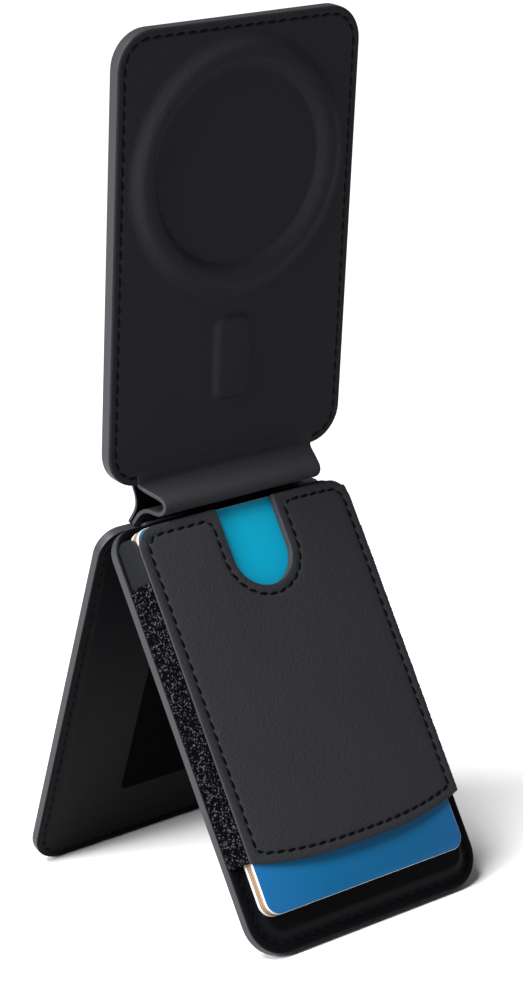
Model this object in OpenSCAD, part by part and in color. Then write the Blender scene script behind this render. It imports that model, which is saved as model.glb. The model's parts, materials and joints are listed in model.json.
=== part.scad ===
// Folding phone wallet stand: a magnet panel for the phone, and two legs that
// fold together, the front one with a stretch pocket for cards.
// The panel and both legs are flat lay-ups of cover, board and cover, sewn round
// their edges. Each is drawn flat, in its own local axes: X across, Y up along
// it from its hinge line, Z out of the face that looks to the front.

/* [Panels] */
// Width of the magnet panel and of both legs
panel_w = 62.6; // [60:0.2:66]
// Height of the magnet panel
panel_h = 98; // [94:0.5:102]
// Length of each leg from the apex to the foot
leg_l = 95.2; // [92:0.2:98]
// Radius of the outer corners
corner_r = 8; // [6:0.5:10]
// Radius of the corners beside the apex
apex_corner_r = 5.5; // [4:0.5:7]
// Thickness of the leather covers
cover_t = 0.7; // [0.6:0.05:0.8]
// Thickness of the magnet panel without its raised ring
panel_t = 3.0; // [2.8:0.1:3.4]
// Thickness of the front leg at its sewn margin
front_t = 2.6; // [2.4:0.1:3]
// Thickness of the rear leg
rear_t = 2.4; // [2.2:0.1:3]

/* [Stance] */
// Lean of each leg from the vertical, in degrees
leg_lean = 26.1; // [22:0.1:30]
// Forward lean of the magnet panel, in degrees
panel_lean = 10.8; // [5:0.1:15]
// Rise of the panel's hinge line above the top of the rear leg
strap_rise = 3.4; // [3:0.1:4]
// Free strap between the panel's hinge line and its lower edge
strap_free = 6.7; // [6:0.1:8]
// Gap left between two faces that are folded together
fold_gap = 0.3; // [0.2:0.05:0.5]

/* [Magnets] */
// Height of the ring's centre above the panel's lower edge
ring_y = 66.8; // [64:0.1:68]
// Outer radius of the magnet ring
ring_ro = 26.4; // [26:0.1:27]
// Inner radius of the magnet ring
ring_ri = 22.5; // [22:0.1:23]
// Height of the raised ring above the front cover
ring_rise = 1.6; // [1.2:0.1:2]
// Number of arc segments in the ring
ring_segments = 18; // [12:1:24]
// Height of the bar magnet's centre above the panel's lower edge
bar_y = 24.8; // [22:0.1:26]
// Height of the raised bar above the front cover
bar_rise = 0.9; // [0.6:0.1:1.2]

/* [Pocket] */
// Width of the pocket face
pocket_w = 57.5; // [57:0.5:59]
// Top edge of the pocket face, below the apex
pocket_top = -1.4; // [-3:0.1:-1]
// Lower corners of the pocket face, below the apex
pocket_low = -75.2; // [-78:0.1:-72]
// Depth of the convex lower edge past those corners
pocket_sag = 3.3; // [2:0.1:4]
// Height of the pocket's inside above the front leg's margin
pocket_inside = 4.7; // [4.7:0.1:6]
// Thickness of the pocket face at its side edges
pocket_edge_t = 0.55; // [0.5:0.05:0.8]
// Thickness of the pocket face along its middle
pocket_mid_t = 1.8; // [1.5:0.1:2.2]
// Width of the thumb slot
slot_w = 15.4; // [14:0.2:18]
// Depth of the thumb slot
slot_d = 19; // [16:0.5:22]
// Height of the full middle of the front leg's cover above its sewn margin
pad_rise = 1.0; // [0.8:0.1:1.1]

/* [Cards] */
// Width of a card
card_w = 53.98; // [53.98]
// Length of a card
card_l = 85.6; // [85.6]
// Thickness of a card
card_t = 0.76; // [0.76]
// Sideways place of the cards in the pocket
card_x = -1.2; // [-1.2:0.1:1.2]
// Top edge of the cards, below the apex
card_top = -1.4; // [-2:0.1:-1.4]

/* [Hidden] */
$fn = 72;

half_gap = fold_gap / 2;
// margin level of the front leg's front face, in its local axes
margin_z = half_gap + front_t;
lining_t = 0.3;
card_gap = 0.1;
card_r = 3.18;
// front face of the front card, a little behind the lining
card_front_z = margin_z + pocket_inside - 0.14;

// the front card's lower corner is the foremost point, and the rear foot the
// rearmost, so the apex stands between them
front_reach = (card_l - card_top) * sin(leg_lean) + card_front_z * cos(leg_lean);
rear_reach = leg_l * sin(leg_lean) + (half_gap + rear_t) * cos(leg_lean);
apex_y = (front_reach - rear_reach) / 2;
apex_z = leg_l * cos(leg_lean) - half_gap * sin(leg_lean);
// the panel's hinge line, on the plane of the rear leg's outer face
hinge_out = half_gap + rear_t + half_gap;
hinge_y = apex_y - strap_rise * sin(leg_lean) + hinge_out * cos(leg_lean);
hinge_z = apex_z + strap_rise * cos(leg_lean) + hinge_out * sin(leg_lean);
panel_front = half_gap + panel_t;

seam_side = 1.7;
seam_end = 2.2;
seam_pocket = 2.1;
groove_w = 0.8;
groove_d = 0.35;
thread_w = 0.5;
thread_t = 0.3;
strap_w = 43;
strap_t = 0.9;
rear_strap_t = 0.7;
apex_strap_t = 0.6;
// the spine strap bulges forward round one centre and crosses the apex round the other
lobe_c = [apex_y - 6.6, apex_z + 5.95];
lobe_r = 2.1;
hump_c = [apex_y - 1.6, apex_z + 1.3];
hump_r = 2.2;
// the straps stop this far short of the edges that they are sewn to
strap_end = 0.05;

ring_foot_o = 28.6;
ring_foot_i = 20.0;
ring_flat_o = 26.9;
ring_flat_i = 22.1;
yoke_t = 0.4;
yoke_z = panel_front - cover_t - 1.1;
magnet_t = 1.2;
bar_foot = [10.4, 20.2];
bar_flat = [6.0, 16.6];
bar_magnet = [5.2, 15.6, 1.0];
bar_magnet_z = panel_front - cover_t - 0.6;
// clearance round each magnet
magnet_play = 0.2;

inlay = [19.5, 63];
inlay_r = 1.5;
inlay_t = 0.4;
inlay_y = -48;
closing_magnet = [12, 30, 0.5];

pad_inset = 3.2;
pad_t = 0.6;
board_inset = 0.3;
wall_low = margin_z + 0.02;
wall_high = margin_z + pocket_inside - 0.15;
gusset_top = -13;
gusset_bottom = -75;
gusset_t = 0.8;
tab_top = -3.2;
tab_t = 0.5;
tab_x = 28.45;

module at_front_leg() {
  translate([0, apex_y, apex_z]) rotate([90 - leg_lean, 0, 0]) children();
}

module at_rear_leg() {
  translate([0, apex_y, apex_z]) rotate([90 + leg_lean, 0, 0]) children();
}

module at_panel() {
  translate([0, hinge_y, hinge_z]) rotate([90 + panel_lean, 0, 0]) children();
}

// flat outline from y0 up to y1, with one radius below and one above
module rounded(w, y0, y1, r_low, r_high) {
  translate([-w / 2 + r_low, y0]) square([w - 2 * r_low, r_low]);
  translate([-w / 2, y0 + r_low]) square([w, y1 - y0 - r_low - r_high]);
  translate([-w / 2 + r_high, y1 - r_high]) square([w - 2 * r_high, r_high]);
  for (s = [-1, 1]) {
    translate([s * (w / 2 - r_low), y0 + r_low]) circle(r_low);
    translate([s * (w / 2 - r_high), y1 - r_high]) circle(r_high);
  }
}

module sheet(z0, z1) {
  translate([0, 0, z0]) linear_extrude(z1 - z0) children();
}

// outlines, drawn smaller by an inset all round
module panel_outline(side = 0, end = 0) {
  rounded(panel_w - 2 * side, strap_free + end, strap_free + panel_h - end,
          corner_r - side, corner_r - side);
}

module leg_outline(side = 0, end = 0) {
  rounded(panel_w - 2 * side, -leg_l + end, -end, corner_r - side, apex_corner_r - side);
}

// band along a seam line, open where the strap leaves the panel or leg
module panel_seam(band) {
  difference() {
    panel_outline(seam_side - band / 2, seam_end - band / 2);
    panel_outline(seam_side + band / 2, seam_end + band / 2);
    translate([-strap_w / 2, strap_free - 1]) square([strap_w, 6]);
  }
}

module leg_seam(band) {
  difference() {
    leg_outline(seam_side - band / 2, seam_end - band / 2);
    leg_outline(seam_side + band / 2, seam_end + band / 2);
    translate([-strap_w / 2, -5]) square([strap_w, 6]);
  }
}

// room for the ring and bar magnets, in the board and the back of the front cover
module magnet_room() {
  translate([0, strap_free + ring_y, yoke_z]) difference() {
    cylinder(h = yoke_t + magnet_t + 0.05, r = ring_ro + magnet_play);
    translate([0, 0, -1]) cylinder(h = yoke_t + magnet_t + 2, r = ring_ri - magnet_play);
  }
  translate([-bar_magnet.x / 2 - magnet_play, strap_free + bar_y - bar_magnet.y / 2 - magnet_play,
             bar_magnet_z])
    cube(bar_magnet + [2 * magnet_play, 2 * magnet_play, 0.05]);
}

// block with four sloping sides
module sloped_bar(foot, flat, rise) {
  intersection() {
    translate([0, foot.y / 2, 0]) rotate([90, 0, 0]) linear_extrude(foot.y)
      polygon([[-foot.x / 2, 0], [foot.x / 2, 0], [flat.x / 2, rise], [-flat.x / 2, rise]]);
    translate([-foot.x / 2, 0, 0]) rotate([90, 0, 90]) linear_extrude(foot.x)
      polygon([[-foot.y / 2, 0], [foot.y / 2, 0], [flat.y / 2, rise], [-flat.y / 2, rise]]);
  }
}

module panel_front_cover() {
  color([0.10, 0.10, 0.11]) at_panel() difference() {
    sheet(panel_front - cover_t, panel_front) panel_outline();
    magnet_room();
    sheet(panel_front - groove_d, panel_front + 1) panel_seam(groove_w);
  }
}

// the ridges that the front cover is drawn over
module ring_ridge() {
  color([0.14, 0.14, 0.15]) at_panel() translate([0, strap_free + ring_y, panel_front])
    rotate_extrude()
      polygon([[ring_foot_i, 0], [ring_foot_o, 0], [ring_flat_o, ring_rise], [ring_flat_i, ring_rise]]);
}

module bar_ridge() {
  color([0.14, 0.14, 0.15]) at_panel() translate([0, strap_free + bar_y, panel_front])
    sloped_bar(bar_foot, bar_flat, bar_rise);
}

module panel_board() {
  color([0.35, 0.33, 0.3]) at_panel() difference() {
    sheet(half_gap + cover_t, panel_front - cover_t) panel_outline(board_inset, board_inset);
    magnet_room();
  }
}

module panel_back_cover() {
  color([0.10, 0.10, 0.11]) at_panel() difference() {
    sheet(half_gap, half_gap + cover_t) panel_outline();
    sheet(half_gap - 1, half_gap + groove_d) panel_seam(groove_w);
  }
}

module panel_thread() {
  color([0.04, 0.04, 0.05]) at_panel() {
    sheet(panel_front - groove_d, panel_front - groove_d + thread_t) panel_seam(thread_w);
    sheet(half_gap + groove_d - thread_t, half_gap + groove_d) panel_seam(thread_w);
  }
}

module magnet_ring() {
  step = 360 / ring_segments;
  color([0.7, 0.7, 0.72]) at_panel() translate([0, strap_free + ring_y, yoke_z + yoke_t])
    for (i = [0 : ring_segments - 1]) rotate([0, 0, i * step])
      rotate_extrude(angle = step - 1) translate([ring_ri, 0]) square([ring_ro - ring_ri, magnet_t]);
}

module ring_yoke() {
  color([0.6, 0.6, 0.6]) at_panel() translate([0, strap_free + ring_y, yoke_z])
    difference() {
      cylinder(h = yoke_t, r = ring_ro);
      translate([0, 0, -1]) cylinder(h = yoke_t + 2, r = ring_ri);
    }
}

module alignment_magnet() {
  color([0.7, 0.7, 0.72]) at_panel()
    translate([-bar_magnet.x / 2, strap_free + bar_y - bar_magnet.y / 2, bar_magnet_z])
      cube(bar_magnet);
}

// points on an arc in the Y-Z plane, from angle a0 to a1
function arc(c, r, a0, a1, n) =
  [for (i = [0 : n]) let (a = a0 + (a1 - a0) * i / n) c + r * [cos(a), sin(a)]];

function unit(v) = v / norm(v);

// directions along the path, averaged at each inner point
function heading(p, i) =
  unit(i == 0 ? p[1] - p[0] : i == len(p) - 1 ? p[i] - p[i - 1]
       : unit(p[i + 1] - p[i]) + unit(p[i] - p[i - 1]));

function side_line(p, d) =
  [for (i = [0 : len(p) - 1]) let (h = heading(p, i)) p[i] + d * [-h.y, h.x]];

// strip of leather along a path in the Y-Z plane
module strip(path, t, w) {
  left = side_line(path, t / 2);
  right = side_line(path, -t / 2);
  points = concat(left, [for (i = [len(right) - 1 : -1 : 0]) right[i]]);
  translate([-w / 2, 0, 0]) rotate([90, 0, 90]) linear_extrude(w) polygon(points);
}

// a point in the Y-Z plane, from local axes of the panel or of a leg
function panel_point(y, z) =
  [hinge_y - y * sin(panel_lean) - z * cos(panel_lean),
   hinge_z + y * cos(panel_lean) - z * sin(panel_lean)];

function front_point(y, z) =
  [apex_y + y * sin(leg_lean) - z * cos(leg_lean),
   apex_z + y * cos(leg_lean) + z * sin(leg_lean)];

function rear_point(y, z) =
  [apex_y - y * sin(leg_lean) - z * cos(leg_lean),
   apex_z + y * cos(leg_lean) - z * sin(leg_lean)];

module spine_strap() {
  in_panel = panel_front - strap_t / 2;
  start = [panel_point(strap_free - strap_end, in_panel),
           panel_point(strap_free - strap_t, in_panel)];
  finish = rear_point(strap_end, -half_gap - rear_t + rear_strap_t + strap_t / 2 + 0.15);
  path = concat(start, arc(lobe_c, lobe_r, 115, 270, 9), arc(hump_c, hump_r, 112, 16, 6), [finish]);
  color([0.10, 0.10, 0.11]) strip(path, strap_t, strap_w);
}

module rear_strap() {
  inset = rear_strap_t / 2;
  path = [panel_point(strap_free - strap_end, half_gap + inset), panel_point(0.8, half_gap + inset),
          rear_point(strap_rise - 0.8, -half_gap - rear_t + inset),
          rear_point(strap_end, -half_gap - rear_t + inset)];
  color([0.10, 0.10, 0.11]) strip(path, rear_strap_t, strap_w + 3);
}

// joins the legs across the valley between their upper ends
module apex_strap() {
  level = strap_end + apex_strap_t / 2;
  path = [front_point(level, 2.2), front_point(level, 0.72), rear_point(level, -0.45)];
  color([0.10, 0.10, 0.11]) strip(path, apex_strap_t, strap_w);
}

module rear_leg_inner_cover() {
  color([0.10, 0.10, 0.11]) at_rear_leg() difference() {
    sheet(-half_gap - cover_t, -half_gap) leg_outline();
    sheet(-half_gap - inlay_t, 1)
      rounded(inlay.x, inlay_y - inlay.y / 2, inlay_y + inlay.y / 2, inlay_r, inlay_r);
    sheet(-half_gap - groove_d, 1) leg_seam(groove_w);
  }
}

module rear_leg_board() {
  color([0.35, 0.33, 0.3]) at_rear_leg() difference() {
    sheet(-half_gap - rear_t + cover_t, -half_gap - cover_t) leg_outline(board_inset, board_inset);
    translate([-closing_magnet.x / 2, inlay_y - closing_magnet.y / 2,
               -half_gap - cover_t - closing_magnet.z])
      cube(closing_magnet + [0, 0, 1]);
  }
}

module rear_leg_outer_cover() {
  color([0.10, 0.10, 0.11]) at_rear_leg() difference() {
    sheet(-half_gap - rear_t, -half_gap - rear_t + cover_t) leg_outline();
    sheet(-half_gap - rear_t - 1, -half_gap - rear_t + groove_d) leg_seam(groove_w);
  }
}

module rear_leg_thread() {
  color([0.04, 0.04, 0.05]) at_rear_leg() {
    sheet(-half_gap - groove_d, -half_gap - groove_d + thread_t) leg_seam(thread_w);
    sheet(-half_gap - rear_t + groove_d - thread_t, -half_gap - rear_t + groove_d)
      leg_seam(thread_w);
  }
}

module rear_leg_inlay() {
  play = 0.1;
  color([0.03, 0.03, 0.03]) at_rear_leg() sheet(-half_gap - inlay_t, -half_gap)
    rounded(inlay.x - 2 * play, inlay_y - inlay.y / 2 + play, inlay_y + inlay.y / 2 - play,
            inlay_r - play, inlay_r - play);
}

module rear_leg_magnet() {
  color([0.6, 0.6, 0.6]) at_rear_leg()
    translate([-closing_magnet.x / 2, inlay_y - closing_magnet.y / 2,
               -half_gap - cover_t - closing_magnet.z])
      cube(closing_magnet);
}

module front_leg_cover() {
  color([0.10, 0.10, 0.11]) at_front_leg() difference() {
    union() {
      sheet(margin_z - cover_t, margin_z) leg_outline();
      sheet(margin_z - 0.1, margin_z + pad_rise) leg_outline(pad_inset, pad_inset);
    }
    sheet(margin_z - groove_d, margin_z + 0.5) leg_seam(groove_w);
  }
}

module front_leg_pad() {
  color([0.5, 0.5, 0.48]) at_front_leg() sheet(margin_z - cover_t - pad_t, margin_z - cover_t)
    leg_outline(board_inset, board_inset);
}

module front_leg_board() {
  color([0.35, 0.33, 0.3]) at_front_leg() difference() {
    sheet(half_gap + cover_t, margin_z - cover_t - pad_t) leg_outline(board_inset, board_inset);
    translate([-closing_magnet.x / 2, inlay_y - closing_magnet.y / 2, half_gap + cover_t - 1])
      cube(closing_magnet + [0, 0, 1]);
  }
}

module front_leg_back_cover() {
  color([0.10, 0.10, 0.11]) at_front_leg() difference() {
    sheet(half_gap, half_gap + cover_t) leg_outline();
    sheet(half_gap - 1, half_gap + groove_d) leg_seam(groove_w);
  }
}

module front_leg_thread() {
  color([0.04, 0.04, 0.05]) at_front_leg() {
    sheet(margin_z - groove_d, margin_z - groove_d + thread_t) leg_seam(thread_w);
    sheet(half_gap + groove_d - thread_t, half_gap + groove_d) leg_seam(thread_w);
  }
}

module front_leg_magnet() {
  color([0.6, 0.6, 0.6]) at_front_leg()
    translate([-closing_magnet.x / 2, inlay_y - closing_magnet.y / 2, half_gap + cover_t])
      cube(closing_magnet);
}

// stretch side wall, leaning from the leg's edge in to the pocket's edge
module gusset(side) {
  foot = panel_w / 2 - 0.2;
  head = pocket_w / 2 + 0.35;
  color([0.05, 0.05, 0.055]) at_front_leg()
    translate([0, gusset_top, 0]) rotate([90, 0, 0]) linear_extrude(gusset_top - gusset_bottom)
      polygon([[side * foot, wall_low], [side * head, wall_high],
               [side * (head - gusset_t), wall_high], [side * (foot - gusset_t), wall_low]]);
}

module gusset_left() { gusset(-1); }

module gusset_right() { gusset(1); }

// short leather wall that closes the pocket's side above the gusset
module side_tab(side) {
  color([0.12, 0.12, 0.13]) at_front_leg()
    translate([side * tab_x - (side < 0 ? tab_t : 0), gusset_top + 0.1, wall_low])
      cube([tab_t, tab_top - gusset_top, wall_high - wall_low]);
}

module side_tab_left() { side_tab(-1); }

module side_tab_right() { side_tab(1); }

// outline of the pocket face with its bowed lower edge and thumb slot
module pocket_outline(inset = 0) {
  half = pocket_w / 2;
  bow_r = (half * half + pocket_sag * pocket_sag) / (2 * pocket_sag);
  difference() {
    intersection() {
      rounded(pocket_w - 2 * inset, pocket_low - pocket_sag + inset, pocket_top - inset, 1, 5 - inset);
      translate([0, pocket_low - pocket_sag + bow_r]) circle(bow_r - inset, $fn = 360);
    }
    translate([-slot_w / 2 - inset, pocket_top - slot_d + slot_w / 2])
      square([slot_w + 2 * inset, slot_d]);
    translate([0, pocket_top - slot_d + slot_w / 2]) circle(slot_w / 2 + inset);
  }
}

// arched block under the crown of the pocket face, lowered by drop
module pocket_crown(drop = 0) {
  rise = pocket_mid_t - pocket_edge_t;
  half = pocket_w / 2;
  r = (half * half + rise * rise) / (2 * rise);
  top = margin_z + pocket_inside + pocket_mid_t - drop;
  reach = asin(half / r) + 0.4;
  crown = arc([0, top - r], r, 90 + reach, 90 - reach, 12);
  translate([0, 2, 0]) rotate([90, 0, 0]) linear_extrude(leg_l)
    polygon(concat([[-half - 2, 0]], crown, [[half + 2, 0]]));
}

module pocket_face() {
  color([0.13, 0.13, 0.14]) at_front_leg() difference() {
    intersection() {
      sheet(margin_z + pocket_inside + lining_t, margin_z + pocket_inside + 3) pocket_outline();
      pocket_crown();
    }
    difference() {
      sheet(margin_z + pocket_inside + pocket_edge_t - 0.3, margin_z + pocket_inside + 4)
        pocket_seam(groove_w);
      pocket_crown(groove_d);
    }
  }
}

module pocket_lining() {
  color([0.06, 0.06, 0.065]) at_front_leg()
    sheet(margin_z + pocket_inside, margin_z + pocket_inside + lining_t) pocket_outline(0.05);
}

module pocket_seam(band) {
  difference() {
    pocket_outline(seam_pocket - band / 2);
    pocket_outline(seam_pocket + band / 2);
  }
}

module pocket_thread() {
  color([0.04, 0.04, 0.05]) at_front_leg() difference() {
    intersection() {
      sheet(margin_z + pocket_inside + lining_t + 0.1, margin_z + pocket_inside + 3)
        pocket_seam(thread_w);
      pocket_crown(0.05);
    }
    pocket_crown(groove_d);
  }
}

// card number 0 is the front one
module card(number, tint) {
  top = card_front_z - number * (card_t + card_gap);
  color(tint) at_front_leg() translate([card_x, 0, 0])
    sheet(top - card_t, top) rounded(card_w, card_top - card_l, card_top, card_r, card_r);
}

module card_front() { card(0, [0.05, 0.35, 0.7]); }

module card_second() { card(1, [0.75, 0.6, 0.42]); }

module card_third() { card(2, [0.75, 0.6, 0.42]); }

module card_back() { card(3, [0.9, 0.9, 0.9]); }

panel_front_cover();
panel_board();
panel_back_cover();
panel_thread();
ring_ridge();
bar_ridge();
magnet_ring();
ring_yoke();
alignment_magnet();
spine_strap();
rear_strap();
apex_strap();
rear_leg_inner_cover();
rear_leg_board();
rear_leg_outer_cover();
rear_leg_thread();
rear_leg_inlay();
rear_leg_magnet();
front_leg_cover();
front_leg_pad();
front_leg_board();
front_leg_back_cover();
front_leg_thread();
front_leg_magnet();
gusset_left();
gusset_right();
side_tab_left();
side_tab_right();
pocket_face();
pocket_lining();
pocket_thread();
card_front();
card_second();
card_third();
card_back();
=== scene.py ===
import json
import math

import bmesh
import bpy
from mathutils import Matrix, Vector


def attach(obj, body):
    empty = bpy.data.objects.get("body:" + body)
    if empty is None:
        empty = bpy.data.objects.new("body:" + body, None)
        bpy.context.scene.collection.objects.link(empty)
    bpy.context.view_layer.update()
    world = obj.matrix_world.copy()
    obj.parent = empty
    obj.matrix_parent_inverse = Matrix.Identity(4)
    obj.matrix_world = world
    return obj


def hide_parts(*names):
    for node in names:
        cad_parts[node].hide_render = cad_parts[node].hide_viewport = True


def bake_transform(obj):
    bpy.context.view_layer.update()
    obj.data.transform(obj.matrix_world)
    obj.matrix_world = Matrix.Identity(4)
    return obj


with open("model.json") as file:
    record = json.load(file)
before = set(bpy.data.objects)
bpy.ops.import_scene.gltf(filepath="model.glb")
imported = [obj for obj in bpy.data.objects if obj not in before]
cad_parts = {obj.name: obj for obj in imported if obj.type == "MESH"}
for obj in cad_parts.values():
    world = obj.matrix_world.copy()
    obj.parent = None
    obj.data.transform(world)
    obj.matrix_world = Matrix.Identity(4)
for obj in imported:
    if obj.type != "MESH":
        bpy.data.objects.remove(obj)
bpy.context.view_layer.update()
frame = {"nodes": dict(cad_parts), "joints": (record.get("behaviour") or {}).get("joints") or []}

MM = 0.001
joint_at = {joint["name"]: joint.get("pos_m") for joint in frame["joints"]}


# --- Camera ---------------------------------------------------------------
# Stands to the left of the stand and a little above it, with a long lens.
camera_place = Vector((-345.1, -473.2, 231.4)) * MM
camera_yaw, camera_dip, camera_roll = (math.radians(a) for a in (36.97, 13.9, -4.373))
camera_data = bpy.data.cameras.new("camera")
camera_data.lens = 99.3
camera = bpy.data.objects.new("camera", camera_data)
bpy.context.scene.collection.objects.link(camera)
camera.matrix_world = (
    Matrix.Translation(camera_place)
    @ Matrix.Rotation(-camera_yaw, 4, "Z")
    @ Matrix.Rotation(math.radians(90) - camera_dip, 4, "X")
    @ Matrix.Rotation(camera_roll, 4, "Z")
)
bpy.context.scene.camera = camera


# --- Studio ---------------------------------------------------------------
# A wide pale floor under dim white surroundings, soft window light from the upper left,
# and a broad lamp low on the left that rakes across the panel and draws its edges.
def add_node(tree, kind, place=(0, 0), **settings):
    """A shader node with its settings, and its input values by socket name."""
    made = tree.nodes.new(kind)
    made.location = place
    values = settings.pop("inputs", {})
    for name, value in settings.items():
        setattr(made, name, value)
    for name, value in values.items():
        made.inputs[name].default_value = value
    return made


def new_material(name, **shader_values):
    """A material with one Principled shader, whose plain values are set on it."""
    material = bpy.data.materials.new(name)
    material.use_nodes = True
    shader = material.node_tree.nodes["Principled BSDF"]
    for socket, value in shader_values.items():
        shader.inputs[socket.replace("_", " ")].default_value = value
    return material, material.node_tree, shader


floor_size, floor_drop = 9.0, 0.02 * MM
bpy.ops.object.select_all(action="DESELECT")
bpy.ops.mesh.primitive_plane_add(size=floor_size, location=(0, 0, -floor_drop))
floor = bpy.context.object
floor.name = "floor"
floor_paint, tree, shader = new_material("floor_paint", Roughness=0.85, Specular_IOR_Level=0.1)
mottle = add_node(tree, "ShaderNodeTexNoise", (-500, 0), inputs={"Scale": 6.0, "Detail": 3.0})
tint = add_node(tree, "ShaderNodeValToRGB", (-280, 0))
tint.color_ramp.elements[0].color = (0.56, 0.56, 0.57, 1)
tint.color_ramp.elements[1].color = (0.6, 0.6, 0.6, 1)
where = add_node(tree, "ShaderNodeTexCoord", (-700, 0))
tree.links.new(where.outputs["Object"], mottle.inputs["Vector"])
tree.links.new(mottle.outputs["Fac"], tint.inputs["Fac"])
tree.links.new(tint.outputs["Color"], shader.inputs["Base Color"])
floor.data.materials.append(floor_paint)

surroundings = bpy.data.worlds.new("surroundings")
surroundings.use_nodes = True
surroundings.node_tree.nodes["Background"].inputs["Color"].default_value = (1, 1, 1, 1)
surroundings.node_tree.nodes["Background"].inputs["Strength"].default_value = 0.2
bpy.context.scene.world = surroundings
bpy.context.scene.view_settings.view_transform = "Standard"

# a sun's spread is its angle in degrees, and an area lamp's is its side in millimetres
aim = Vector((0, 0, 95)) * MM
for lamp_name, kind, place, spread, power in (
    ("lamp_window", "SUN", (-500, -110, 900), 26, 6.6),
    ("lamp_left", "AREA", (-660, -70, 340), 260, 11.0),
):
    lamp_data = bpy.data.lights.new(lamp_name, kind)
    lamp_data.energy = power
    if kind == "SUN":
        lamp_data.angle = math.radians(spread)
    else:
        lamp_data.shape = "SQUARE"
        lamp_data.size = spread * MM
    lamp = bpy.data.objects.new(lamp_name, lamp_data)
    bpy.context.scene.collection.objects.link(lamp)
    lamp.location = Vector(place) * MM
    lamp.rotation_euler = (aim - lamp.location).to_track_quat("-Z", "Y").to_euler()


# --- Magnet panel, front cover ----------------------------------------------
# Thin leather drawn over a stiff board and its magnets, so the ring and the
# short bar stand up as soft ridges. The leather turns down over the board's
# edge, which is sealed with edge paint, and a stitching groove is pressed round.
def leather_group():
    """Fine pebbled grain with a slow drift of tone: colour, roughness and height."""
    group = bpy.data.node_groups.new("leather_grain", "ShaderNodeTree")
    sockets = group.interface
    sockets.new_socket("Colour", in_out="INPUT", socket_type="NodeSocketColor")
    for name, value in (("Grain per metre", 2600.0), ("Tone drift", 0.18), ("Roughness", 0.5)):
        sockets.new_socket(name, in_out="INPUT", socket_type="NodeSocketFloat").default_value = value
    sockets.new_socket("Colour", in_out="OUTPUT", socket_type="NodeSocketColor")
    sockets.new_socket("Roughness", in_out="OUTPUT", socket_type="NodeSocketFloat")
    sockets.new_socket("Height", in_out="OUTPUT", socket_type="NodeSocketFloat")
    link = group.links.new
    given = add_node(group, "NodeGroupInput", (-1100, 0))
    out = add_node(group, "NodeGroupOutput", (700, 0))
    where = add_node(group, "ShaderNodeTexCoord", (-1100, -300))
    pebbles = add_node(group, "ShaderNodeTexVoronoi", (-800, -200), feature="SMOOTH_F1",
                       inputs={"Smoothness": 0.6, "Randomness": 0.9})
    creases = add_node(group, "ShaderNodeTexNoise", (-800, -480),
                       inputs={"Scale": 900.0, "Detail": 6.0})
    drift = add_node(group, "ShaderNodeTexNoise", (-800, 200), inputs={"Scale": 38.0, "Detail": 4.0})
    link(where.outputs["Object"], pebbles.inputs["Vector"])
    link(where.outputs["Object"], creases.inputs["Vector"])
    link(where.outputs["Object"], drift.inputs["Vector"])
    link(given.outputs["Grain per metre"], pebbles.inputs["Scale"])
    relief = add_node(group, "ShaderNodeMath", (-500, -300), operation="MULTIPLY_ADD")
    relief.inputs[1].default_value = -0.7
    link(pebbles.outputs["Distance"], relief.inputs[0])
    link(creases.outputs["Fac"], relief.inputs[2])
    link(relief.outputs[0], out.inputs["Height"])
    around = add_node(group, "ShaderNodeMath", (-500, 150), operation="SUBTRACT")
    around.inputs[1].default_value = 0.5
    link(drift.outputs["Fac"], around.inputs[0])
    scaled = add_node(group, "ShaderNodeMath", (-300, 150), operation="MULTIPLY_ADD")
    scaled.inputs[2].default_value = 1.0
    link(around.outputs[0], scaled.inputs[0])
    link(given.outputs["Tone drift"], scaled.inputs[1])
    toned = add_node(group, "ShaderNodeVectorMath", (0, 150), operation="SCALE")
    link(given.outputs["Colour"], toned.inputs[0])
    link(scaled.outputs[0], toned.inputs["Scale"])
    link(toned.outputs["Vector"], out.inputs["Colour"])
    rough = add_node(group, "ShaderNodeMath", (0, -100), operation="MULTIPLY_ADD")
    rough.inputs[1].default_value = 0.08
    link(relief.outputs[0], rough.inputs[0])
    link(given.outputs["Roughness"], rough.inputs[2])
    link(rough.outputs[0], out.inputs["Roughness"])
    return group


grain = leather_group()


def grained(name, colour, grain_per_metre, roughness, relief, drift=0.18, **shader_values):
    """A leather or cloth finish that the grain group colours and roughens."""
    material, tree, shader = new_material(name, **shader_values)
    skin = add_node(tree, "ShaderNodeGroup", (-500, 0), node_tree=grain)
    skin.inputs["Colour"].default_value = (*colour, 1)
    skin.inputs["Grain per metre"].default_value = grain_per_metre
    skin.inputs["Roughness"].default_value = roughness
    skin.inputs["Tone drift"].default_value = drift
    bump = add_node(tree, "ShaderNodeBump", (-250, -200), inputs={"Strength": 1.0, "Distance": relief * MM})
    tree.links.new(skin.outputs["Colour"], shader.inputs["Base Color"])
    tree.links.new(skin.outputs["Roughness"], shader.inputs["Roughness"])
    tree.links.new(skin.outputs["Height"], bump.inputs["Height"])
    tree.links.new(bump.outputs["Normal"], shader.inputs["Normal"])
    return material


cover_colour = (0.0108, 0.0111, 0.0132)
cover_leather = grained("cover_leather", cover_colour, 1900, 0.48, 0.08, Specular_IOR_Level=0.025)
edge_paint = grained("edge_paint", (0.021, 0.0215, 0.024), 5200, 0.4, 0.01, Specular_IOR_Level=0.16)


def choose(piece, kind, wanted):
    """Selects only those verts, edges or faces of the piece in edit mode that pass."""
    bpy.ops.mesh.select_mode(type={"verts": "VERT", "edges": "EDGE", "faces": "FACE"}[kind])
    bpy.ops.mesh.select_all(action="DESELECT")
    shell = bmesh.from_edit_mesh(piece.data)
    for part in getattr(shell, kind):
        part.select = wanted(part)
    shell.select_flush_mode()
    bmesh.update_edit_mesh(piece.data)


def take_all_faces():
    """Selects every face of the piece in edit mode."""
    bpy.ops.mesh.select_mode(type="FACE")
    bpy.ops.mesh.select_all(action="SELECT")


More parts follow.
